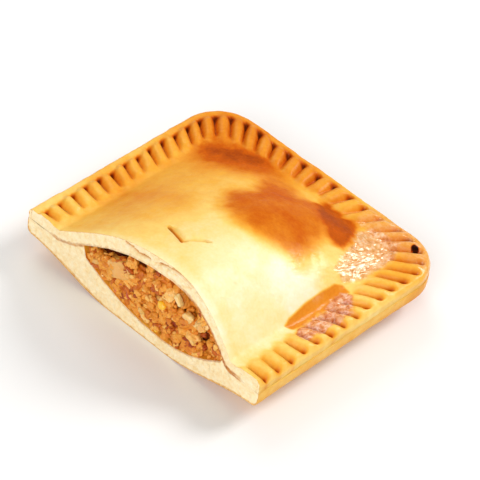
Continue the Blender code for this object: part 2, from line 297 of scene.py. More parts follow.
def dent(x, y):
    across = (x - DENT_CENTRE[0]) / DENT_HALF[0]
    along = (y - DENT_CENTRE[1]) / DENT_HALF[1]
    return DENT_DEPTH * np.exp(-(across**2) - along**4)


def lid_top(x, y):
    """Height of the dome's outer face."""
    on_left = x < CREST_X
    foot = np.where(on_left, DOME_FOOT[0] - HALF_WIDTH, HALF_WIDTH - DOME_FOOT[1])
    fullness = np.where(on_left, FULLNESS_LEFT, FULLNESS_RIGHT)
    across = 1 - rounded_power((x - CREST_X) / (foot - CREST_X), fullness)
    back = BACK_Y - sum(DOME_FOOT) / 2
    along = 1 - rounded_power((y - CUT_Y) / (back - CUT_Y), FULLNESS_BACK)
    rise = np.clip(across, 0, 1) * np.clip(along, 0, 1)
    flat = np.stack([x, y, np.full_like(x, 0.3 * HUMP_SIZE)], -1)
    return mix(RIM_TOP, DOME_TOP, rise) + HUMP * smooth(2 * rise) * noise_at(flat, HUMP_SIZE) - dent(x, y)


def lid_under(x, y):
    return np.maximum(SEAM + GAP, lid_top(x, y) - LID_THICKNESS)


def inner_share(at, ridge):
    """Share of the way to the foot. at is 0 at the crest, 1 at the pocket's edge and 2 at the foot."""
    edge = along_border(POCKET_EDGE, ridge) + POCKET_BACK * np.sin(math.pi * ridge / RIDGES)
    return np.where(at < 1, at * edge, mix(edge, 1, at - 1))


def base_top(x, y, at):
    """Height of the base's inner face: a dish under the filling, and a wedge against the lid round it."""
    dish = np.minimum(DISH_FLOOR + DISH_RISE * at**2, lid_under(x, y) - POCKET_EDGE_HEIGHT)
    return np.where(at > 1, lid_under(x, y) - JOINT, dish)


def belly(inset):
    return -BELLY_SAG * smooth(inset / BELLY_INSET)


def place(x, y, height):
    """Points in the frame, with the uneven outline of hand-made dough."""
    flat = np.stack([x, y, np.full_like(x, 0.7 * WARP_SIZE)], -1)
    from_cut = (y - CUT_Y) / DEPTH
    moved_x = x + WARP * noise_at(flat, WARP_SIZE)
    moved_y = y + WARP * from_cut * noise_at(flat, WARP_SIZE, np.array([5.0, 3.0, 0.0]))
    return np.stack([moved_x, moved_y, height + BELLY_SAG], -1)


# Rows of points. Each is its points, with the ridge and the inset of every point


def ring(count, inset, height):
    ridge = np.linspace(0, RIDGES, count + 1)
    inset = inset(ridge) if callable(inset) else np.full_like(ridge, inset)
    x, y = ring_points(ridge, inset)
    height = height(ridge, inset) if callable(height) else np.full_like(ridge, height)
    return place(x, y, height), ridge, inset


def dome_row(count, share, height):
    ridge = np.linspace(0, RIDGES, count + 1)
    x, y = ray_points(ridge, share)
    return place(x, y, height(x, y)), ridge, along_border(DOME_FOOT, ridge) + (1 - share) * CREST_INSET


def crest_row(height):
    x, y = np.array([CREST_X]), np.array([CUT_Y])
    return place(x, y, height(x, y)), np.array([RIDGES / 2]), np.array([DOME_FOOT[0] + CREST_INSET])


def inner_rows(height):
    """Rows inside, from the point under the crest to the dome's foot."""
    rows = [crest_row(lambda x, y: height(x, y, 0))]
    for at in POCKET_PLACES[1:] + WEDGE_PLACES:
        ridge = np.linspace(0, RIDGES, COARSE + 1)
        x, y = ray_points(ridge, inner_share(at, ridge))
        rows.append((place(x, y, height(x, y, at)), ridge, np.full_like(ridge, 0.05)))
    return rows


# Each ridge is pressed a little differently
RIDGE_DRAW = np.random.default_rng(11)
RIDGE_DEPTH = RIDGE_DRAW.uniform(0.75, 1.2, RIDGES + 2)
RIDGE_OUT = RIDGE_DRAW.uniform(-0.35, 0.35, RIDGES + 2) * MM
RIDGE_IN = RIDGE_DRAW.uniform(-0.8, 0.6, RIDGES + 2) * MM
RIDGE_CREST = RIDGE_DRAW.uniform(-0.15, 0.2, RIDGES + 2) * MM
RIDGE_SLANT = RIDGE_DRAW.uniform(-0.1, 0.1, RIDGES + 2)


def groove_start(ridge):
    return np.interp(ridge, *GROOVE_START) * MM


def groove_end(ridge):
    return np.interp(ridge, *GROOVE_END) * MM


def groove(ridge, inset):
    """Share of the way down into a groove, place along it (0 at its outer end, 1 inside) and its number."""
    valley = np.floor(ridge).astype(int)
    start = groove_start(ridge) + RIDGE_OUT[valley]
    end = groove_end(ridge) + RIDGE_IN[valley]
    along = (inset - start) / (end - start)
    from_valley = np.abs(ridge - valley - 0.5 - RIDGE_SLANT[valley] * (along - 0.3))
    share = np.clip(1 - 2 * from_valley, 0, 1) ** GROOVE_SHARPNESS
    return share, along, valley


def border_height(ridge, inset):
    """Height of the crimped border: grooves between pillowy ridges, and a smooth bead outside them."""
    share, along, valley = groove(ridge, inset)
    depth = np.interp(along, *GROOVE_DEPTH) * MM * RIDGE_DEPTH[valley]
    fullness = np.interp(along, *RIDGE_FULLNESS)
    nearest = np.round(ridge).astype(int)
    from_ridge = np.clip(1 - (2 * np.abs(ridge - nearest)) ** 2, 0, 1)
    crest = fullness * from_ridge * (RIDGE_HEIGHT + RIDGE_CREST[nearest])
    x, y = ring_points(ridge, inset)
    return RIM_TOP + crest - share * depth - dent(x, y)


def edge_drop(inset):
    """How far the rounded outer edge lies below its top, at that inset."""
    return BEAD * (1 - np.sqrt(np.clip(1 - (1 - np.clip(inset / BEAD, 0, 1)) ** 2, 0, 1)))


def lid_skin_rows():
    """From the crest over the border to the seam."""
    rows = [crest_row(lid_top)]
    for i in range(1, DOME_ROWS + 1):
        share = i / DOME_ROWS
        rows.append(dome_row(max(RIDGES, round(FINE * share)), share, lid_top))
    steps = round(DOME_FOOT[0] / BORDER_STEP)
    for i in range(1, steps):
        inset = lambda ridge, i=i: along_border(DOME_FOOT, ridge) * (1 - i / steps)
        rows.append(ring(FINE, inset, lambda ridge, inset: border_height(ridge, inset) - edge_drop(inset)))
    for drop in np.linspace(BEAD, RIM_TOP - SEAM - SEAM_MARGIN, LID_WALL_ROWS):
        bulge = BULGE * (drop - BEAD) / (2 * MM)
        rows.append(ring(FINE, max(0, bulge), RIM_TOP - drop))
    rows.append(ring(FINE, SEAM_INSET, SEAM + JOINT))
    rows.append(ring(COARSE, SEAM_REACH, SEAM + JOINT))
    return rows


def lid_inner_rows():
    return inner_rows(lambda x, y, _: np.maximum(SEAM + JOINT, lid_under(x, y)))[::-1]


def base_dish_rows():
    return inner_rows(base_top) + [ring(COARSE, SEAM_REACH, SEAM)]


def base_skin_rows():
    """Down the side wall and under the belly."""
    rows = [ring(FINE // 2, inset * MM, height * MM) for inset, height in WALL]
    for inset in np.arange(*BELLY_ROWS):
        count = max(RIDGES, round(FINE / 2 * (1 - inset / BELLY_THINNING)))
        rows.append(ring(count, inset * MM, lambda ridge, inset: belly(inset)))
    middle = place(np.zeros(1), np.full(1, CUT_Y), np.full(1, -BELLY_SAG))
    rows.append((middle, np.zeros(1), np.full(1, HALF_WIDTH)))
    return rows


# Meshes


def stitch(first, second, first_at, second_at):
    """Triangles between two neighbouring rows of point numbers, whose places along them run from 0 to 1."""
    faces = []
    i = j = 0
    while i < len(first) - 1 or j < len(second) - 1:
        next_first = first_at[i + 1] if i < len(first) - 1 else 2
        next_second = second_at[j + 1] if j < len(second) - 1 else 2
        if next_first <= next_second:
            faces.append((first[i], second[j], first[i + 1]))
            i += 1
        else:
            faces.append((first[i], second[j], second[j + 1]))
            j += 1
    return faces


def places_along(points):
    """How far along its length each point of a row lies, from 0 to 1."""
    lengths = np.concatenate([[0], np.cumsum(np.linalg.norm(np.diff(points, axis=0), axis=1))])
    return lengths / lengths[-1]


def point_along(points, at, wanted):
    return np.stack([np.interp(wanted, at, points[:, axis]) for axis in range(3)], -1)


def build_dough(name, first_rows, second_rows, layers):
    """A closed mesh through the rows, with a finely meshed cut face between their ends.

    Returns the mesh, the ridge and inset of each point, and for the cut face's points the share of the
    way from the first rows' ends to the second rows' ends (elsewhere -1).
    """
    rows = first_rows + second_rows
    points = np.concatenate([row[0] for row in rows])
    ridge = np.concatenate([row[1] for row in rows])
    inset = np.concatenate([row[2] for row in rows])
    starts = np.cumsum([0] + [len(row[0]) for row in rows])
    numbers = [list(range(starts[i], starts[i + 1])) for i in range(len(rows))]
    faces = []
    for first, second in zip(numbers, numbers[1:]):
        even = [np.linspace(0, 1, max(2, len(row))) for row in (first, second)]
        faces += stitch(first, second, *even)
    skin_faces = len(faces)

    seam = len(first_rows) - 1
    upper = [row[0] for row in numbers[seam::-1]] + [row[-1] for row in numbers[1 : seam + 1]]
    lower = [row[0] for row in numbers[seam:]] + [row[-1] for row in numbers[-2 : seam - 1 : -1]]
    upper_points, lower_points = points[upper], points[lower]
    upper_at, lower_at = places_along(upper_points), places_along(lower_points)
    count = round(np.linalg.norm(np.diff(upper_points, axis=0), axis=1).sum() / CUT_STEP)
    inner_at = np.linspace(0, 1, count + 1)[1:-1]
    near_upper = point_along(upper_points, upper_at, inner_at)
    near_lower = point_along(lower_points, lower_at, inner_at)
    row_at = np.concatenate([[0], inner_at, [1]])
    extra, previous, previous_at, total = [], upper, upper_at, len(points)
    for layer in range(1, layers):
        extra.append(mix(near_upper, near_lower, layer / layers))
        row = [upper[0]] + list(range(total, total + len(inner_at))) + [upper[-1]]
        total += len(inner_at)
        faces += stitch(previous, row, previous_at, row_at)
        previous, previous_at = row, row_at
    faces += stitch(previous, lower, previous_at, lower_at)

    faces = [face for face in faces if len(set(face)) == 3]
    cut_share = np.full(total, -1.0)
    cut_share[len(points) :] = np.repeat(np.arange(1, layers) / layers, [len(row) for row in extra])
    cut_share[upper] = 0
    cut_share[lower[1:-1]] = 1
    points = np.concatenate([points] + extra)
    ridge = np.concatenate([ridge, np.zeros(total - len(ridge))])
    inset = np.concatenate([inset, np.zeros(total - len(inset))])
    mesh = bpy.data.meshes.new(name)
    mesh.from_pydata(points.tolist(), [], faces)
    mesh.polygons.foreach_set("material_index", [int(i >= skin_faces) for i in range(len(faces))])
    mesh.polygons.foreach_set("use_smooth", [True] * len(faces))
    shell = bmesh.new()
    shell.from_mesh(mesh)
    bmesh.ops.recalc_face_normals(shell, faces=shell.faces[:])
    for edge in shell.edges:
        edge.smooth = len({face.material_index for face in edge.link_faces}) == 1
    shell.to_mesh(mesh)
    shell.free()
    return mesh, ridge, inset, cut_share


def vertex_rows(mesh, name):
    """Each vertex's "co" or "normal", as rows of three."""
    flat = np.empty(len(mesh.vertices) * 3, np.float32)
    mesh.vertices.foreach_get(name, flat)
    return flat.reshape(-1, 3).astype(float)


def set_coordinates(mesh, points):
    mesh.vertices.foreach_set("co", np.ascontiguousarray(points, np.float32).ravel())
    mesh.update()


def set_attribute(mesh, name, values):
    attribute = mesh.attributes.new(name, "FLOAT", "POINT")
    attribute.data.foreach_set("value", np.ascontiguousarray(values, np.float32))


def read_attribute(mesh, name):
    values = np.empty(len(mesh.vertices), np.float32)
    mesh.attributes[name].data.foreach_get("value", values)
    return values.astype(float)


def relax(mesh, points, strength, times):
    """Moves each point towards its neighbours' middle, as strongly as its own strength says."""
    edges = np.empty(len(mesh.edges) * 2, np.int32)
    mesh.edges.foreach_get("vertices", edges)
    a, b = edges.reshape(-1, 2).T
    degree = np.bincount(np.concatenate([a, b]), minlength=len(points))[:, None]
    for _ in range(times):
        total = np.zeros_like(points)
        np.add.at(total, a, points[b])
        np.add.at(total, b, points[a])
        points = mix(points, total / degree, strength[:, None])
    return points


def finish_piece(mesh, materials, node):
    for material in materials:
        mesh.materials.append(material)
    made = bpy.data.objects.new(mesh.name, mesh)
    bpy.context.scene.collection.objects.link(made)
    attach(made, "root")
    if node:
        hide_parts(node)


def blob(x, y, centre, radii, turn=0, edge=0.5):
    """1 inside an ellipse, falling to 0 outside it over that share of its size."""
    angle = math.radians(turn)
    dx, dy = x / MM - centre[0], y / MM - centre[1]
    u = (dx * math.cos(angle) + dy * math.sin(angle)) / radii[0]
    v = (-dx * math.sin(angle) + dy * math.cos(angle)) / radii[1]
    return step(np.hypot(u, v), 1 + edge / 2, 1 - edge / 2)


def distance_to_path(x, y, path):
    """Distance from each plan point to a path, and how far along the path the nearest place is."""
    best = np.full_like(x, np.inf)
    where = np.zeros_like(x)
    for i, ((ax, ay), (bx, by)) in enumerate(zip(path, path[1:])):
        dx, dy = bx - ax, by - ay
        share = np.clip(((x - ax) * dx + (y - ay) * dy) / (dx * dx + dy * dy), 0, 1)
        distance = np.hypot(x - ax - share * dx, y - ay - share * dy)
        where = np.where(distance < best, i + share, where)
        best = np.minimum(best, distance)
    return best, where


def area(x, y, outline, soft):
    """1 inside an outline given in millimetres, falling to 0 across it over that many millimetres."""
    points = [(px * MM, py * MM) for px, py in outline]
    distance, _ = distance_to_path(x, y, points + points[:1])
    inside = np.zeros(x.shape, bool)
    for (ax, ay), (bx, by) in zip(points, points[1:] + points[:1]):
        if ay != by:
            inside ^= ((ay > y) != (by > y)) & (x < (bx - ax) * (y - ay) / (by - ay) + ax)
    return step(np.where(inside, distance, -distance), -soft * MM / 2, soft * MM / 2)


def dome_bake(points, rough, fine, ragged):
    """How far the dome is browned: most in its patches and at the back, least on its right side, where
    painted highlight makes it paler still. Its left side is darker, partly browning and partly painted
    shade.
    """
    x, y = points[:, 0], points[:, 1]
    # Darker towards the left side: partly browning, partly painted shade of the side turned from the light
    bake = 0.25 + 0.18 * step(x, 6 * MM, -28 * MM) + 0.04 * rough + 0.025 * fine
    bake += 0.14 * step(y, 0, 30 * MM)
    bake += 0.08 * area(*ragged, GOLDEN_STREAK, 7)
    bake += 0.06 * step(y, -26 * MM, -14 * MM) * step(x, 4 * MM, -12 * MM)
    bake = mix(bake, 0.75 + 0.05 * rough, 0.92 * area(*ragged, BROWN_PATCH, 8.5))
    bake = mix(bake, 0.83 + 0.05 * rough, 0.92 * area(*ragged, DEEP_PATCH, 3.5))
    # Browning, and painted highlight where the change is negative
    for bake_change, *shape in BROWNING_AND_HIGHLIGHTS:
        bake += bake_change * blob(*ragged, *shape)
    return bake


def border_bake(points, share, along, glazed):
    """How far the crimped border is browned: most in its grooves, at the left and at the back."""
    x, y = points[:, 0], points[:, 1]
    bake = 0.34 + 0.14 * step(y, -34 * MM, -8 * MM) * step(x, 20 * MM, -20 * MM)
    bake += 0.13 * step(y, 8 * MM, 28 * MM) + 0.05 * step(x, 0, -30 * MM) * step(y, 0, -20 * MM)
    in_groove = share**0.6 * np.interp(along, *GROOVE_BROWNING)
    bake += in_groove * (0.2 + 0.3 * step(along, 0.28, 0.05)) * (1 - 0.6 * glazed)
    return bake + 0.05 * glazed - 0.05 * step(along, -0.05, -0.3)


def lid_masks(points, ridge, inset):
    """How far the crust is browned, glossy and wrinkled at each point."""
    x, y = points[:, 0], points[:, 1]
    rough = layered_noise(points, 9 * MM, 3.0)
    fine = layered_noise(points, 2.2 * MM, 9.0)
    ragged_x = x + rough * 1.6 * MM + fine * 0.5 * MM
    ragged_y = y + layered_noise(points, 8 * MM, 21.0) * 1.6 * MM
    ragged = ragged_x, ragged_y
    share, along, _ = groove(ridge, inset)
    scallop = SCALLOP * np.cos(2 * math.pi * ridge)
    from_end = inset + 0.5 * MM * rough + 0.4 * MM * fine - scallop - groove_end(ridge)

    on_border = step(from_end, 1.3 * MM, -1.3 * MM)
    shiny_patch = area(*ragged, GLOSSY_PATCH, 2.5)
    shiny_ridges = area(*ragged, GLOSSY_RIDGES, 1.6)
    oval = area(x, y, OVAL, 0.7)
    glazed = step(x, 14 * MM, 20 * MM) * step(y, 27 * MM, 33 * MM)
    sheen = blob(*ragged, *SHEEN)
    speck = np.clip(1.4 * sum(blob(x, y, *shape) for shape in BURNT_SPECKS), 0, 1)

    bake = dome_bake(points, rough, fine, ragged)
    bake -= 0.1 * step(y - CUT_Y, 4 * MM, 0) * (1 - on_border)
    shiny_bake = 0.48 - 0.12 * step(y, 18 * MM, 9 * MM) + 0.12 * fine
    bake = mix(bake, shiny_bake, 0.85 * shiny_patch)
    bake = mix(bake, 0.6 + 0.02 * rough, oval)
    crimped = border_bake(points, share, along, glazed) + 0.04 * rough + 0.03 * fine
    bake = mix(bake, np.clip(crimped, 0, 0.9), on_border)
    ridges_bake = 0.66 + 0.14 * fine + 0.14 * share * np.interp(along, *GROOVE_BROWNING)
    bake = mix(bake, ridges_bake, 0.9 * shiny_ridges)
    bake = mix(bake, 1.0, speck)

    gloss = 0.95 * shiny_patch + shiny_ridges + 0.3 * oval + (0.2 + 0.4 * glazed) * on_border + 0.3 * sheen
    gloss = mix(np.clip(gloss, 0, 1), 0.1, speck)
    wrinkle = np.clip(shiny_patch + 1.3 * shiny_ridges + 0.25 * sheen, 0, 1.3)
    return np.clip(bake, 0, 1), gloss, wrinkle


def refine_near_vent(mesh):
    """Splits the faces round the vent, which is narrower than they are."""
    made = bmesh.new()
    made.from_mesh(mesh)
    co = np.array([vert.co for vert in made.verts])
    distance, _ = distance_to_path(co[:, 0], co[:, 1], VENT)
    near = (distance < LIP) & (co[:, 2] > VENT_LOWEST)
    made.verts.ensure_lookup_table()
    edges = [edge for edge in made.edges if near[edge.verts[0].index] and near[edge.verts[1].index]]
    bmesh.ops.subdivide_edges(made, edges=edges, cuts=2, use_grid_fill=True)
    bmesh.ops.triangulate(made, faces=made.faces[:])
    made.to_mesh(mesh)
    made.free()


def cut_relief(points):
    """How far the crumb of the cut dough is torn back from the knife's plane."""
    torn = np.clip(layered_noise(points, 1.6 * MM, 4.0), 0, 1) ** 1.5 * 0.5 * MM
    pores = np.clip(noise_at(points, 0.7 * MM, 8.0) - 0.25, 0, 1) * 0.55 * MM
    swell = (1 + layered_noise(points, 6 * MM, 1.0)) * 0.1 * MM
    return torn + pores + swell


def below_edge(points, edge):
    """How far each point lies below the cut's upper edge."""
    order = np.argsort(points[edge, 0])
    return np.interp(points[:, 0], points[edge, 0][order], points[edge, 2][order]) - points[:, 2]


def vent_relief(points, skin):
    """The vent's slit, flap and lips: how far each point moves out, and how much painted shade darkens it
    in the slit and inside the V.
    """
    x, y, z = points.T
    distance, where = distance_to_path(x, y, VENT)
    over = skin * (z > VENT_LOWEST)
    first_arm = step(where, 1.25, 0.95)
    slit = step(distance, SLIT, 0.15 * MM) * over
    slit *= np.interp(where, [0, 0.12, 1.85, 2], [0.2, 1, 0.9, 0.1])
    inside = over * area(x, y, [(px / MM, py / MM) for px, py in VENT], 0.3)
    lift = 0.5 * MM * over * blob(x, y, *FLAP)
    lift -= 0.85 * MM * inside * step(distance, SUNKEN_EDGE, 0.2 * MM)
    lift += 0.3 * MM * over * (1 - inside) * step(distance, LIP, 0.3 * MM)
    lift -= mix(0.3, 1.9, first_arm) * MM * slit
    # Painted shade: darker in the slit and inside the V along its sunken edge
    painted_shade = mix(0.06, 0.4, first_arm) * slit + 0.08 * inside * step(distance, 2.2 * MM, 0)
    return lift, painted_shade


def crack_share(points, depth):
    """1 in the two cracks that run along the lid's cut face, where its layers part, and 0 elsewhere."""
    x = points[:, 0]
    flaky = noise_at(points, 2.6 * MM, 15.0)
    first_at = np.interp(x / MM, *CRACK_DEPTH) * MM + 0.4 * MM * noise_at(points, 4 * MM, 6.0)
    first = step(np.abs(depth - first_at), 0.75 * MM, 0.2 * MM) * step(flaky, -0.45, -0.1)
    second_at = first_at + 1.3 * MM + 0.9 * MM * noise_at(points, 3 * MM, 26.0)
    second = step(np.abs(depth - second_at), 0.55 * MM, 0.1 * MM) * step(flaky, 0.2, -0.2)
    second *= step(x, 1 * MM, 4 * MM)
    return np.clip(first + 0.7 * second, 0, 1) * step(x, -11 * MM, -8 * MM) * step(x, 24 * MM, 20 * MM)


def make_lid(crust, crumb):
    rows = lid_skin_rows(), lid_inner_rows()
    mesh, ridge, inset, cut_share = build_dough("lid_crust", *rows, LID_CUT_LAYERS)
    for name, values in (("ridge", ridge), ("inset", inset), ("cut_share", cut_share)):
        set_attribute(mesh, name, values)
    refine_near_vent(mesh)
    ridge, inset, cut_share = (read_attribute(mesh, name) for name in ("ridge", "inset", "cut_share"))
    points, normal = vertex_rows(mesh, "co"), vertex_rows(mesh, "normal")
    on_cut = (cut_share > 0) & (cut_share < 1)
    skin = (cut_share <= 0) & (normal[:, 2] > -0.3)

    foot = along_border(DOME_FOOT, ridge)
    near_foot = step(np.abs(inset - foot), 3.5 * MM, 1.0 * MM) * skin * (cut_share < 0)
    points = relax(mesh, points, 0.55 * near_foot, 14)
    points = relax(mesh, points, 0.35 * skin * (cut_share < 0), 2)

    bake, gloss, wrinkle = lid_masks(points, ridge, inset)
    lift = 0.09 * MM * layered_noise(points, 3.2 * MM, 5.0) + 0.16 * MM * layered_noise(points, 8 * MM, 2.0)
    folds = np.abs(layered_noise(points * [1.0, 0.55, 1.0], 2.0 * MM, 12.0))
    lift += wrinkle * 0.5 * MM * (0.3 - folds)
    blisters = np.clip(noise_at(points, 1.3 * MM, 33.0) - 0.35, 0, 1) * step(inset, 11 * MM, 15 * MM)
    lift += 0.25 * MM * blisters
    vent_lift, vent_painted_shade = vent_relief(points, skin)
    points = points + normal * ((lift + vent_lift) * skin)[:, None]

    depth = below_edge(points, cut_share == 0)
    crack = crack_share(points, depth)
    above_joint = (1 - cut_share) * LID_THICKNESS
    torn = cut_relief(points) * step(above_joint, 0, 1.0 * MM) + CRACK_INTO * crack
    points[:, 1] = np.maximum(points[:, 1] + on_cut * torn, CUT_Y - KNIFE_SLACK)
    set_coordinates(mesh, points)

    wet = step(above_joint, *STAIN_REACH) * np.interp(points[:, 0] / MM, *LID_STAIN)
    # The vent's painted shade is added to the browning
    set_attribute(mesh, "bake", np.clip(bake + vent_painted_shade, 0, 1))
    set_attribute(mesh, "gloss", gloss)
    # The cracks also go into the skin-edge and stain shares: painted shade in them
    set_attribute(mesh, "skin_edge_and_crack_shade", np.where(cut_share > 0, step(depth, 0.6 * MM, 0.0) + 1.1 * crack, 1))
    set_attribute(mesh, "stain_and_crack_shade", np.where(cut_share > 0, np.maximum(wet, 0.8 * crack), 0))
    finish_piece(mesh, (crust, crumb), "pastry_lid")


def make_base(crust, crumb):
    rows = base_dish_rows(), base_skin_rows()
    mesh, _, inset, cut_share = build_dough("base_dough", *rows, BASE_CUT_LAYERS)
    points, normal = vertex_rows(mesh, "co"), vertex_rows(mesh, "normal")
    on_cut = (cut_share > 0) & (cut_share < 1)
    outside = (cut_share < 0) & ~((normal[:, 2] > 0.3) & (inset > 0.5 * MM))
    lift = 0.12 * MM * layered_noise(points, 7 * MM, 2.0) + 0.06 * MM * layered_noise(points, 2.4 * MM, 6.0)
    resting = points[:, 2] < 0.4 * MM
    points += normal * (lift * outside * ~resting)[:, None]
    below_joint = below_edge(points, cut_share == 0)
    points[:, 1] += on_cut * cut_relief(points) * step(below_joint, 0, 1.0 * MM)
    points[:, 1] = np.maximum(points[:, 1], CUT_Y - KNIFE_SLACK)
    points[:, 2] = np.maximum(points[:, 2], 0)
    set_coordinates(mesh, points)

    x, y, z = points.T
    rough = layered_noise(points, 8 * MM, 13.0)
    fine = layered_noise(points, 2.0 * MM, 19.0)
    under = step(inset, 1 * MM, 3 * MM)
    bake = 0.4 + 0.05 * rough + 0.03 * fine + 0.12 * step(y, 8 * MM, 34 * MM)
    bake += 0.1 * step(z, 10 * MM, 6.5 * MM) * step(inset, 3 * MM, 0)
    bake += under * (0.08 + 0.12 * step(z, 4 * MM, 0.5 * MM) + 0.06 * fine)
    bake += under * 0.12 * step(rough, 0.25, 0.6)
    cut_face = (cut_share >= 0) & (cut_share < 1)
    above_skin = (1 - cut_share) * BASE_THICKNESS
    wet = step(below_joint, *STAIN_REACH) * np.interp(x / MM, *BASE_STAIN)
    set_attribute(mesh, "bake", np.clip(bake, 0, 1))
    set_attribute(mesh, "gloss", 0.15 * (1 - under))
    set_attribute(mesh, "skin_edge_and_crack_shade", np.where(cut_face, step(above_skin, 0.7 * MM, 0.05 * MM), 1))
    set_attribute(mesh, "stain_and_crack_shade", np.where(cut_face, wet, 0))
    finish_piece(mesh, (crust, crumb), "pastry_base")


# The filling


def room_at(x):
    """Lowest and highest place for the filling near the cut, at that distance along it."""
    ridge = np.array([0.0 if x < CREST_X else float(RIDGES)])
    edge_x, _ = ray_points(ridge, inner_share(1, ridge))
    at = np.array([x]), np.array([CUT_Y])
    low = base_top(*at, (x - CREST_X) / (edge_x - CREST_X))[0]
    sunk = np.interp(x / MM, *SUNK) * MM
    return low + BELLY_SAG, lid_under(*at)[0] + BELLY_SAG - sunk


class Lumps:
    """Many noisy lumps, joined into one mesh, each with a tint of its own."""

    def __init__(self, subdivisions):
        ball = bmesh.new()
        bmesh.ops.create_icosphere(ball, subdivisions=subdivisions, radius=1)
        self.ball = np.array([vert.co for vert in ball.verts])
        self.ball_faces = np.array([[vert.index for vert in face.verts] for face in ball.faces])
        ball.free()
        self.points, self.faces, self.tints = [], [], []

    def add(self, centre, radii, turn, tint, seed, roughness=0.3, fibre=0.12, squareness=0.0):
        unit = self.ball
        if squareness:
            unit = mix(unit, unit / np.abs(unit).max(axis=1, keepdims=True), squareness)
        shape = 1 + roughness * layered_noise(self.ball, 1.1, seed, 3)
        shape += fibre * noise_at(self.ball * [0.6, 3.2, 3.2], 1.0, seed + 31)
        points = unit * shape[:, None] * radii
        points = points @ np.array(turn.to_matrix()).T + centre
        points[:, 1] = FRONT + SQUASH * np.logaddexp(0, (points[:, 1] - FRONT) / SQUASH)
        self.faces.append(self.ball_faces + len(self.ball) * len(self.faces))
        self.points.append(points)
        self.tints.append(np.full(len(points), tint))

    def mesh(self, name):
        made = bpy.data.meshes.new(name)
        faces = np.concatenate(self.faces)
        made.from_pydata(np.concatenate(self.points).tolist(), [], faces.tolist())
        made.polygons.foreach_set("use_smooth", [True] * len(faces))
        set_attribute(made, "tint", np.concatenate(self.tints))
        made.update()
        return made


def pull_back(x, z):
    """How far the filling lies behind the cut there."""
    shares = (math.dist((x / MM, z / MM), centre) / size for centre, size in HOLLOWS)
    return HOLLOW_DEPTH * max(float(step(share, 1.25, 0.5)) for share in shares)


def spread(draw, count, size, lift):
    """Places for lumps at the cut, evenly spread, with room for their half sizes."""
    turn = 0
    made = 0
    while made < count:
        turn += 1
        radii = [draw.uniform(*size) * draw.uniform(*share) for share in LUMP_SHAPE]
        radii = np.array(radii) * MM
        x_share, z_share = ((0.5 + turn * each) % 1 for each in (SPAN_STEP, HEIGHT_STEP))
        x = mix(*SPAN, x_share)
        rooms = [room_at(x + side * radii[0]) for side in (-0.5, 0, 0.5)]
        low = max(low for low, _ in rooms) + 0.3 * radii[2]
        high = min(high for _, high in rooms) - radii[2]
        if low > high:
            continue
        z = mix(low, high, z_share)
        deeper = draw.uniform(0, 1.8) * min(1, 3 * z_share) * MM
        made += 1
        yield np.array([x, CUT_Y + radii[1] * lift + pull_back(x, z) + deeper, z]), radii


def any_turn(draw, tilt):
    around_y = Matrix.Rotation(draw.uniform(-tilt, tilt), 3, "Y").to_quaternion()
    around_x = Matrix.Rotation(draw.uniform(-0.4, 0.4), 3, "X").to_quaternion()
    return around_y @ around_x


def make_core(sauce_and_gap_shade):
    """The filling's own solid, pulled back from the cut, as the dark ground behind the lumps: the sauce,
    painted dark as the shade in the gaps between them.
    """
    core = bpy.data.meshes.new("filling_core")
    made = bmesh.new()
    made.from_mesh(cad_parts["tuna_filling"].data)
    bmesh.ops.remove_doubles(made, verts=made.verts[:], dist=0.01 * MM)
    made.to_mesh(core)
    made.free()
    points = vertex_rows(core, "co")
    points[:, 1] += CORE_BACK * step(points[:, 1], CUT_Y + 14 * MM, CUT_Y + 4 * MM)
    set_coordinates(core, points)
    finish_piece(core, (sauce_and_gap_shade,), None)


def make_filling(tuna, onion, pepper, sauce_and_gap_shade):
    draw = random.Random(5)
    flakes = Lumps(4)
    for i, (centre, radii) in enumerate(spread(draw, *FLAKES, lift=0.9)):
        flakes.add(centre, radii, any_turn(draw, 0.9), draw.triangular(0, 1, 0.6), 3.7 * i, 0.5, 0.16)
    finish_piece(flakes.mesh("tuna_flakes"), (tuna,), "tuna_filling")

    crumbs = Lumps(3)
    for i, (centre, radii) in enumerate(spread(draw, *CRUMBS, lift=0.8)):
        crumbs.add(centre, radii, any_turn(draw, 1.5), draw.triangular(0, 1, 0.55), 2.9 * i + 50, 0.45, 0.2)
    finish_piece(crumbs.mesh("tuna_crumbs"), (tuna,), None)

    onions = Lumps(4)
    for i, ((x, z), radii, tilt, tint) in enumerate(ONIONS):
        centre = np.array([x * MM, CUT_Y + radii[1] * MM - ONION_SUNK, z * MM])
        turn = Matrix.Rotation(tilt, 3, "Y").to_quaternion()
        onions.add(centre, np.array(radii) * MM, turn, tint, 11.0 * i, 0.24, 0.1, 0.5)
    finish_piece(onions.mesh("onion_pieces"), (onion,), None)

    peppers = Lumps(3)
    for i, (centre, radii) in enumerate(spread(draw, *PEPPERS, lift=0.5)):
        flat = radii * [1.2, 0.8, 0.7]
        peppers.add(centre, flat, any_turn(draw, 1.5), draw.random(), 5.1 * i + 9, 0.25, 0.05, 0.4)
    turn = any_turn(draw, 0.5)
    peppers.add(np.array(YOLK_AT), np.array(YOLK_RADII), turn, YOLK_TINT, 77.0, 0.25, 0.05, 0.2)
    finish_piece(peppers.mesh("pepper_pieces"), (pepper,), None)
    make_core(sauce_and_gap_shade)


# Materials


def colour(hexadecimal):
    """A hexadecimal colour as linear red, green, blue and alpha."""
    channels = [int(hexadecimal[i : i + 2], 16) / 255 for i in (0, 2, 4)]
    return tuple(c / 12.92 if c <= 0.04045 else ((c + 0.055) / 1.055) ** 2.4 for c in channels) + (1.0,)


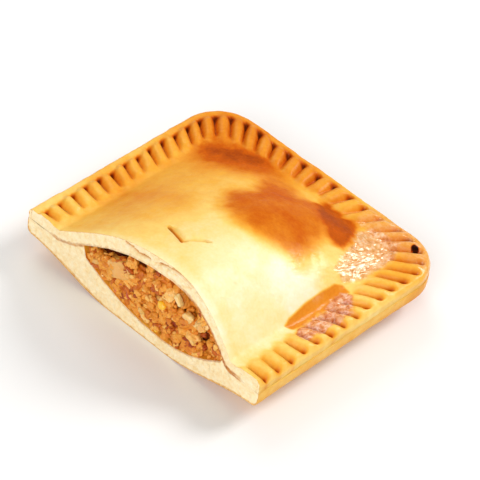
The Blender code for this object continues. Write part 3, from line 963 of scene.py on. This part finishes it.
class Shader:
    """A Principled material and short ways to add nodes to it."""

    def __init__(self, name, **settings):
        self.material = bpy.data.materials.new(name)
        self.material.use_nodes = True
        self.tree = self.material.node_tree
        self.main = self.tree.nodes["Principled BSDF"]
        for key, value in settings.items():
            self.main.inputs[key.replace("_", " ")].default_value = value
        self.position = self.tree.nodes.new("ShaderNodeTexCoord").outputs["Object"]

    def node(self, kind, inputs=(), **settings):
        made = self.tree.nodes.new(kind)
        for key, value in settings.items():
            setattr(made, key, value)
        for key, value in dict(inputs).items():
            self.put(value, made.inputs[key])
        return made

    def put(self, value, socket):
        if isinstance(value, bpy.types.NodeSocket):
            self.tree.links.new(value, socket)
        else:
            socket.default_value = value

    def attribute(self, name):
        return self.node("ShaderNodeAttribute", attribute_name=name).outputs["Fac"]

    def noise(self, size, detail=3.0, roughness=0.55):
        inputs = {"Vector": self.position, "Scale": 1 / size, "Detail": detail, "Roughness": roughness}
        return self.node("ShaderNodeTexNoise", inputs).outputs["Fac"]

    def math(self, operation, first, second):
        return self.node("ShaderNodeMath", {0: first, 1: second}, operation=operation).outputs[0]

    def shift(self, value, wobble, amount):
        """value with a 0 to 1 wobble added, centred and scaled."""
        return self.math("ADD", value, self.math("MULTIPLY", self.math("SUBTRACT", wobble, 0.5), amount))

    def map(self, value, low, high, start=0.0, end=1.0):
        inputs = {"Value": value, "From Min": low, "From Max": high, "To Min": start, "To Max": end}
        return self.node("ShaderNodeMapRange", inputs, clamp=True).outputs["Result"]

    def ramp(self, value, stops):
        made = self.node("ShaderNodeValToRGB", {"Fac": value})
        points = made.color_ramp.elements
        while len(points) < len(stops):
            points.new(0.5)
        for point, (position, shade) in zip(points, sorted(stops.items())):
            point.position = position
            point.color = colour(shade)
        return made.outputs["Color"]

    def blend(self, share, first, second):
        made = self.node("ShaderNodeMix", data_type="RGBA")
        self.put(share, made.inputs["Factor"])
        colours = [socket for socket in made.inputs if socket.type == "RGBA"]
        self.put(first, colours[0])
        self.put(second, colours[1])
        return next(socket for socket in made.outputs if socket.type == "RGBA")

    def bump(self, height, distance, strength=1.0, under=None):
        inputs = {"Height": height, "Distance": distance, "Strength": strength}
        if under is not None:
            inputs["Normal"] = under
        return self.node("ShaderNodeBump", inputs).outputs["Normal"]


BAKE_COLOURS = {
    0.0: "FFF5D8",
    0.15: "FBE4A6",
    0.3: "F8CF6C",
    0.45: "F0AF3A",
    0.6: "E48C1E",
    0.75: "C85A08",
    0.88: "8A3208",
    1.0: "1E0B07",
}


def crust_material():
    shader = Shader("baked_crust", Subsurface_Weight=0.08, Subsurface_Scale=1.5 * MM, Coat_Roughness=0.18)
    shader.main.inputs["Subsurface Radius"].default_value = (1.0, 0.55, 0.25)
    bake = shader.shift(shader.attribute("bake"), shader.noise(5 * MM), 0.1)
    shader.put(shader.map(bake, 0.4, 0.7, 0.2, 0.03), shader.main.inputs["Specular IOR Level"])
    bake = shader.shift(bake, shader.noise(0.9 * MM), 0.1)
    glaze = shader.ramp(shader.noise(1.5 * MM), {0.3: "B05630", 0.48: "E29C6E", 0.64: "FADCC0"})
    glazed = shader.map(shader.attribute("gloss"), 0.4, 1.0, 0.0, 0.6)
    shade = shader.blend(glazed, shader.ramp(bake, BAKE_COLOURS), glaze)
    shader.put(shade, shader.main.inputs["Base Color"])
    shader.put(shader.map(shader.attribute("gloss"), 0.15, 0.9), shader.main.inputs["Coat Weight"])
    rough = shader.map(shader.attribute("gloss"), 0.0, 1.0, 0.42, 0.2)
    rough = shader.shift(rough, shader.noise(1.6 * MM), 0.16)
    shader.put(rough, shader.main.inputs["Roughness"])
    fine = shader.bump(shader.noise(0.45 * MM, 4.0, 0.6), 0.12 * MM, 0.5)
    normal = shader.bump(shader.noise(2.4 * MM, 3.0), 0.3 * MM, 0.35, fine)
    shader.put(normal, shader.main.inputs["Normal"])
    return shader.material


def crumb_material():
    shader = Shader("cut_crumb", Roughness=0.75, Subsurface_Weight=0.06, Subsurface_Scale=1 * MM)
    shader.main.inputs["Subsurface Radius"].default_value = (1.0, 0.7, 0.4)
    crumbs = {0.25: "F3CE8C", 0.45: "FBE2AE", 0.7: "FFF0CC"}
    crumb = shader.ramp(shader.noise(1.5 * MM, 4.0, 0.65), crumbs)
    edge = shader.ramp(shader.noise(0.8 * MM), {0.3: "CF8A30", 0.7: "EDBB66"})
    stained = shader.ramp(shader.noise(1.1 * MM), {0.3: "A8560F", 0.7: "DE9440"})
    # The skin-edge and stain shares also carry the painted shade in the lid's cracks
    near_skin = shader.shift(shader.attribute("skin_edge_and_crack_shade"), shader.noise(0.9 * MM), 0.5)
    wet = shader.shift(shader.attribute("stain_and_crack_shade"), shader.noise(1.2 * MM), 0.7)
    dry_shade = shader.blend(shader.map(near_skin, 0.35, 0.95), crumb, edge)
    shade = shader.blend(shader.map(wet, 0.3, 1.0), dry_shade, stained)
    shader.put(shade, shader.main.inputs["Base Color"])
    coarse = shader.bump(shader.noise(1.0 * MM, 5.0, 0.7), 0.5 * MM, 0.6)
    normal = shader.bump(shader.noise(0.3 * MM, 3.0), 0.15 * MM, 0.6, coarse)
    shader.put(normal, shader.main.inputs["Normal"])
    return shader.material


def tuna_material():
    shader = Shader("flaked_tuna", Subsurface_Weight=0.12, Subsurface_Scale=1.2 * MM)
    shader.main.inputs["Coat Weight"].default_value = 0.2
    shader.main.inputs["Coat Roughness"].default_value = 0.2
    shader.main.inputs["Specular IOR Level"].default_value = 0.25
    shader.main.inputs["Subsurface Radius"].default_value = (1.0, 0.5, 0.2)
    tint = shader.shift(shader.attribute("tint"), shader.noise(1.2 * MM, 4.0, 0.6), 0.55)
    shades = {0.0: "8E2E04", 0.22: "C05A0A", 0.42: "DC7E1C", 0.66: "EFA038", 0.86: "F8BC60", 1.0: "FEDA98"}
    shader.put(shader.ramp(tint, shades), shader.main.inputs["Base Color"])
    shader.put(shader.map(shader.noise(1.0 * MM), 0.3, 0.7, 0.35, 0.6), shader.main.inputs["Roughness"])
    shader.put(shader.bump(shader.noise(0.5 * MM, 5.0, 0.7), 0.35 * MM, 0.7), shader.main.inputs["Normal"])
    return shader.material


def onion_material():
    shader = Shader("soft_onion", Roughness=0.3, Coat_Weight=0.5)
    shader.main.inputs["Subsurface Weight"].default_value = 0.5
    shader.main.inputs["Subsurface Scale"].default_value = 2.5 * MM
    shader.main.inputs["Subsurface Radius"].default_value = (1.0, 0.7, 0.35)
    tint = shader.shift(shader.attribute("tint"), shader.noise(2 * MM), 0.6)
    shades = {0.0: "DC8E30", 0.5: "EBAC52", 1.0: "FCDA98"}
    shader.put(shader.ramp(tint, shades), shader.main.inputs["Base Color"])
    shader.put(shader.bump(shader.noise(0.8 * MM), 0.15 * MM, 0.4), shader.main.inputs["Normal"])
    return shader.material


def pepper_material():
    shader = Shader("red_pepper", Roughness=0.3, Coat_Weight=0.4)
    shader.main.inputs["Subsurface Weight"].default_value = 0.3
    shader.main.inputs["Subsurface Scale"].default_value = 1.5 * MM
    tint = shader.shift(shader.attribute("tint"), shader.noise(1.5 * MM), 0.6)
    shades = {0.0: "B33A12", 0.45: "D65A1C", 0.75: "E8862A", 1.0: "FBBE22"}
    shader.put(shader.ramp(tint, shades), shader.main.inputs["Base Color"])
    shader.put(shader.bump(shader.noise(0.7 * MM), 0.15 * MM, 0.4), shader.main.inputs["Normal"])
    return shader.material


def sauce_and_gap_shade_material():
    shader = Shader("sauce_and_painted_gap_shade", Roughness=0.55, Coat_Weight=0.04)
    shader.main.inputs["Specular IOR Level"].default_value = 0.12
    # Very dark brown: the sauce, painted dark as the shade in the gaps between the lumps
    shades = {0.3: "3A1003", 0.7: "7A3008"}
    shader.put(shader.ramp(shader.noise(2.2 * MM), shades), shader.main.inputs["Base Color"])
    shader.put(shader.bump(shader.noise(1.2 * MM, 4.0), 0.5 * MM, 0.8), shader.main.inputs["Normal"])
    return shader.material


def floor_material():
    shader = Shader("pale_floor", Roughness=0.6)
    shader.main.inputs["Base Color"].default_value = (0.9, 0.9, 0.9, 1)
    return shader.material


# Surroundings


def add_light(name, location, size, power, tone):
    data = bpy.data.lights.new(name, "AREA")
    data.shape = "DISK"
    data.size = size
    data.energy = power
    data.color = tone
    made = bpy.data.objects.new(name, data)
    made.location = location
    made.rotation_euler = (-Vector(location)).to_track_quat("-Z", "Y").to_euler()
    bpy.context.scene.collection.objects.link(made)


def add_camera():
    data = bpy.data.cameras.new("camera")
    data.lens = LENS
    data.clip_start = CLIP_START
    made = bpy.data.objects.new("camera", data)
    back = (Vector(CAMERA_AT) - Vector(CAMERA_TARGET)).normalized()
    right = Vector(CAMERA_UP).cross(back).normalized()
    up = back.cross(right)
    turn = Matrix((right, up, back)).transposed()
    made.matrix_world = Matrix.Translation(CAMERA_AT) @ turn.to_4x4()
    bpy.context.scene.collection.objects.link(made)
    bpy.context.scene.camera = made


def add_floor():
    mesh = bpy.data.meshes.new("floor")
    corners = [(x * FLOOR_HALF, y * FLOOR_HALF, 0) for x, y in ((-1, -1), (1, -1), (1, 1), (-1, 1))]
    mesh.from_pydata(corners, [], [(0, 1, 2, 3)])
    mesh.materials.append(floor_material())
    made = bpy.data.objects.new("floor", mesh)
    bpy.context.scene.collection.objects.link(made)


def add_world():
    world = bpy.data.worlds.new("studio")
    world.use_nodes = True
    background = world.node_tree.nodes["Background"]
    background.inputs["Color"].default_value = (1, 1, 1, 1)
    background.inputs["Strength"].default_value = WORLD_STRENGTH
    bpy.context.scene.world = world


def main():
    bpy.context.scene.view_settings.view_transform = "Standard"
    crust, crumb = crust_material(), crumb_material()
    make_lid(crust, crumb)
    make_base(crust, crumb)
    make_filling(tuna_material(), onion_material(), pepper_material(), sauce_and_gap_shade_material())
    add_camera()
    add_floor()
    add_world()
    for light in LIGHTS:
        add_light(*light)


main()
